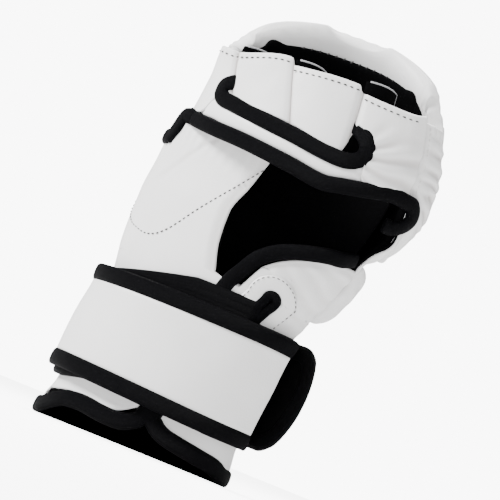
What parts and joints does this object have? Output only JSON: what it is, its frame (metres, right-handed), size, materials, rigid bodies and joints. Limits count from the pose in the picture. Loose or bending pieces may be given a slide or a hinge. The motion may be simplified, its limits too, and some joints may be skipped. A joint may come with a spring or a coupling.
{
  "type": "mma glove",
  "caption": "Left-hand padded sparring glove with an open palm, curved knuckle guard, finger loops, thumb sleeve, palm bar and a double-wrap wrist strap.",
  "frame": {"origin": "centre of the glove's box at the level of the cuff rim it stands on", "axes": "+Z from the cuff to the fingers, -Y out of the palm, -X to the thumb"},
  "size_m": [0.158, 0.0918, 0.246],
  "materials": {
    "white_leather": "satin white leather",
    "black_binding": "folded woven edge binding",
    "black_lining": "matt smooth lining cloth",
    "foam": "closed-cell foam, hidden",
    "hook_and_loop": "hook and loop fastener"
  },
  "bodies": {
    "cuff": {"back_pad_foam": "foam", "back_pad_shell": "white_leather", "cuff_back_foam": "foam", "cuff_back_lining": "black_lining", "cuff_back_shell": "white_leather", "cuff_rim_binding": "black_binding", "hand_back_lining": "black_lining", "heel_lining": "black_lining", "heel_lobe_binding": "black_binding", "heel_panel": "white_leather", "loop_fastener": "hook_and_loop", "palm_arc_binding": "black_binding", "slit_patch": "white_leather", "strap_inner_band": "white_leather", "strap_inner_binding_low": "black_binding", "strap_inner_binding_top": "black_binding", "strap_palm_band": "white_leather", "strap_palm_binding_low": "black_binding", "strap_palm_binding_top": "black_binding", "thenar_lining": "black_lining", "thenar_panel": "white_leather", "thumb_lobe_binding": "black_binding", "wrist_slit_binding": "black_binding"},
    "guard": {"finger_divider_index_middle": "black_lining", "finger_divider_middle_ring": "black_lining", "finger_divider_ring_little": "black_lining", "finger_loop_index": "white_leather", "finger_loop_little": "white_leather", "finger_loop_middle": "white_leather", "finger_loop_ring": "white_leather", "guard_foam_inner": "foam", "guard_foam_outer": "foam", "guard_lining": "black_lining", "guard_shell": "white_leather", "palm_bar_binding": "black_binding", "palm_bar_core": "foam", "palm_bar_cover": "white_leather", "slot_binding": "black_binding", "ulnar_side_panel": "white_leather"},
    "thumb": {"thumb_front_lining": "black_lining", "thumb_front_panel": "white_leather", "thumb_inner_wall": "black_lining", "thumb_mouth_binding": "black_binding"},
    "strap_side": {"strap_side_band": "white_leather", "strap_side_binding_low": "black_binding", "strap_side_binding_top": "black_binding"},
    "strap_back": {"hook_fastener": "hook_and_loop", "strap_back_band": "white_leather", "strap_back_binding_low": "black_binding", "strap_back_binding_top": "black_binding"},
    "strap_tip": {"strap_tip_band": "white_leather", "strap_tip_binding": "black_binding", "strap_tip_lining": "black_lining"}
  },
  "joints": [
    {"name": "knuckle_flex", "type": "hinge", "parent": "cuff", "child": "guard", "pos_m": [-0.00962, 0.02688, 0.15], "axis": [1, 0, 0], "range_deg": [-2, 10], "stiffness_Nm_per_rad": 2},
    {"name": "thumb_swing", "type": "hinge", "parent": "cuff", "child": "thumb", "pos_m": [-0.06688, -0.00622, 0.112], "axis": [0, 1, 0], "range_deg": [-8, 2], "stiffness_Nm_per_rad": 0.4},
    {"name": "strap_side_swing", "type": "hinge", "parent": "cuff", "child": "strap_side", "pos_m": [-0.06745, -0.02615, 0.02579], "axis": [0.0938, 0.0102, 0.9955], "range_deg": [0, 80]},
    {"name": "strap_back_peel", "type": "hinge", "parent": "strap_side", "child": "strap_back", "pos_m": [-0.06981, 0.01781, 0.02573], "axis": [0.0914, 0.0012, 0.9958], "range_deg": [0, 100]},
    {"name": "strap_tip_lift", "type": "hinge", "parent": "strap_back", "child": "strap_tip", "pos_m": [0.02663, 0.02118, 0.02492], "axis": [0.1067, -0.0008, 0.9943], "range_deg": [0, 60]}
  ]
}
